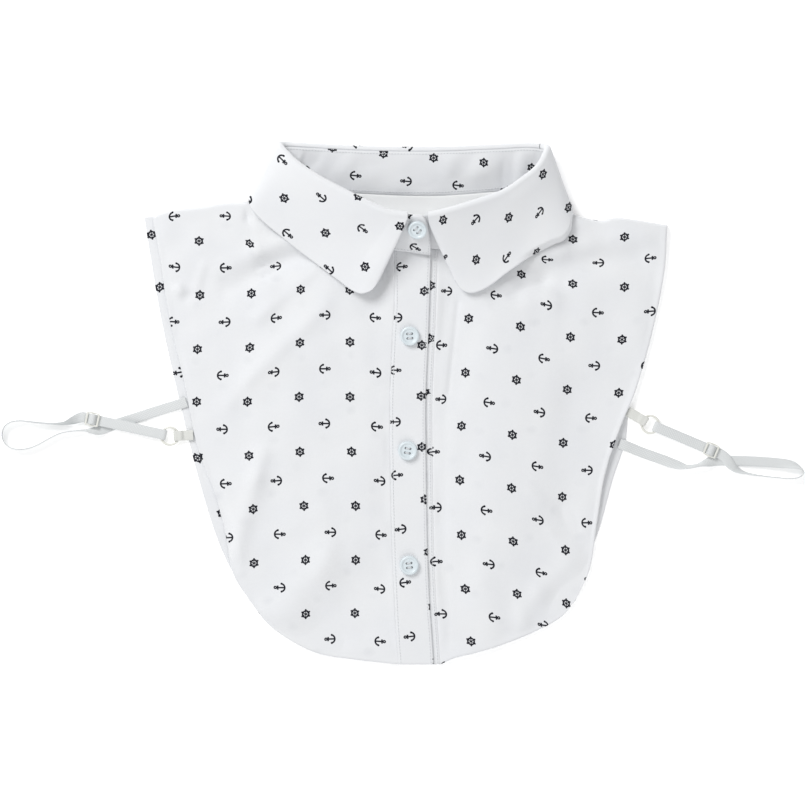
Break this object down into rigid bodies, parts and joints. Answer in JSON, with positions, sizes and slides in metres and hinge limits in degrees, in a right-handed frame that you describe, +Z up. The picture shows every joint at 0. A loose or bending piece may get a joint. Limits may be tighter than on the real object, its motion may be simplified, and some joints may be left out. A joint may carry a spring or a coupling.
{
  "type": "detachable shirt collar",
  "caption": "Buttoned shirt collar on a bib front and back with a placket and adjustable elastic side straps, worn under a jumper to look like a whole shirt; laid flat.",
  "frame": {"origin": "middle of the garment's outline, straps included, on the table that it lies on", "axes": "+X towards the wearer's left side, +Y from the hem towards the neck, +Z up from the table, which is away from the wearer's back"},
  "size_m": [0.4978, 0.3238, 0.0306],
  "materials": {
    "printed_cotton": "white cotton poplin with a small navy print of anchors and ship's wheels",
    "plain_cotton": "plain white cotton poplin",
    "button_resin": "pale bluish white resin, satin",
    "elastic": "white ribbed elastic",
    "hardware_plastic": "off-white coated slider and ring",
    "tape": "cream woven tape"
  },
  "bodies": {
    "root": {"back_panel": "printed_cotton", "back_neck_facing": "plain_cotton", "front_panel_right": "printed_cotton", "front_panel_left": "printed_cotton", "button_placket": "printed_cotton", "under_placket": "printed_cotton", "collar_stand": "printed_cotton", "collar_leaf": "printed_cotton", "stand_button": "button_resin", "placket_button_1": "button_resin", "placket_button_2": "button_resin", "placket_button_3": "button_resin", "strap_right": "elastic", "strap_left": "elastic", "strap_slider_right": "hardware_plastic", "strap_slider_left": "hardware_plastic", "strap_ring_right": "hardware_plastic", "strap_ring_left": "hardware_plastic", "ring_tab_right": "tape", "ring_tab_left": "tape"}
  },
  "joints": []
}
